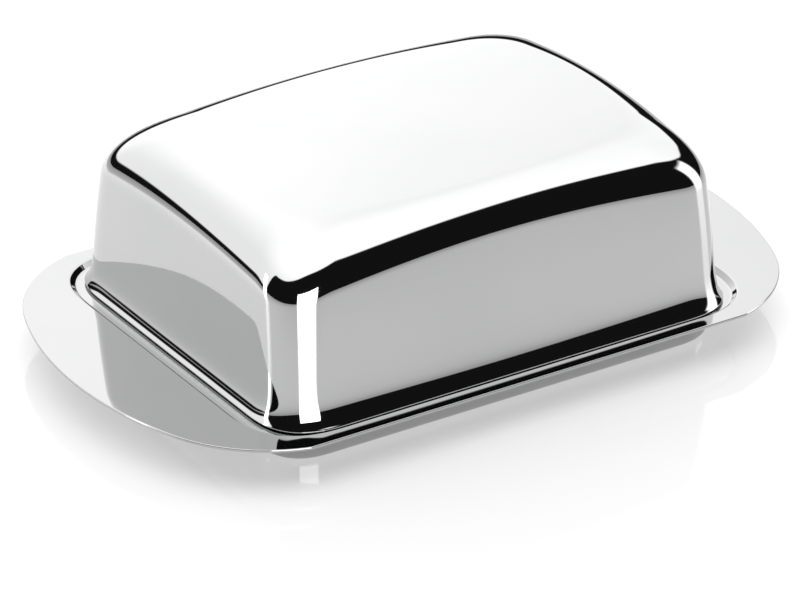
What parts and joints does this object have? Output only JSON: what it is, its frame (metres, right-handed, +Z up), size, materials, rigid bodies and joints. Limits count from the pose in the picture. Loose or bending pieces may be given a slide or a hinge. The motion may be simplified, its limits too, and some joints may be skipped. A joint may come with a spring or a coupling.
{
  "type": "butter dish",
  "caption": "Polished metal butter dish: a pressed tray with arc-shaped ends to hold it by and a deep rounded cover that lifts straight off.",
  "frame": {"origin": "on the surface the dish stands on, under the middle of the tray", "axes": "+X along the length, towards one of the two end handles; +Y across; +Z up, the way the cover lifts off"},
  "size_m": [0.19, 0.1176, 0.0565],
  "materials": {
    "tray_steel": "stainless steel sheet, mirror polished, with faint polishing marks",
    "cover_steel": "stainless steel sheet, mirror polished, with faint polishing marks"
  },
  "bodies": {
    "tray": {"tray": "tray_steel"},
    "cover": {"cover": "cover_steel"}
  },
  "joints": [
    {"name": "cover_lift", "type": "slide", "parent": "tray", "child": "cover", "axis": [0, 0, 1], "range_m": [0, 0.08]}
  ]
}
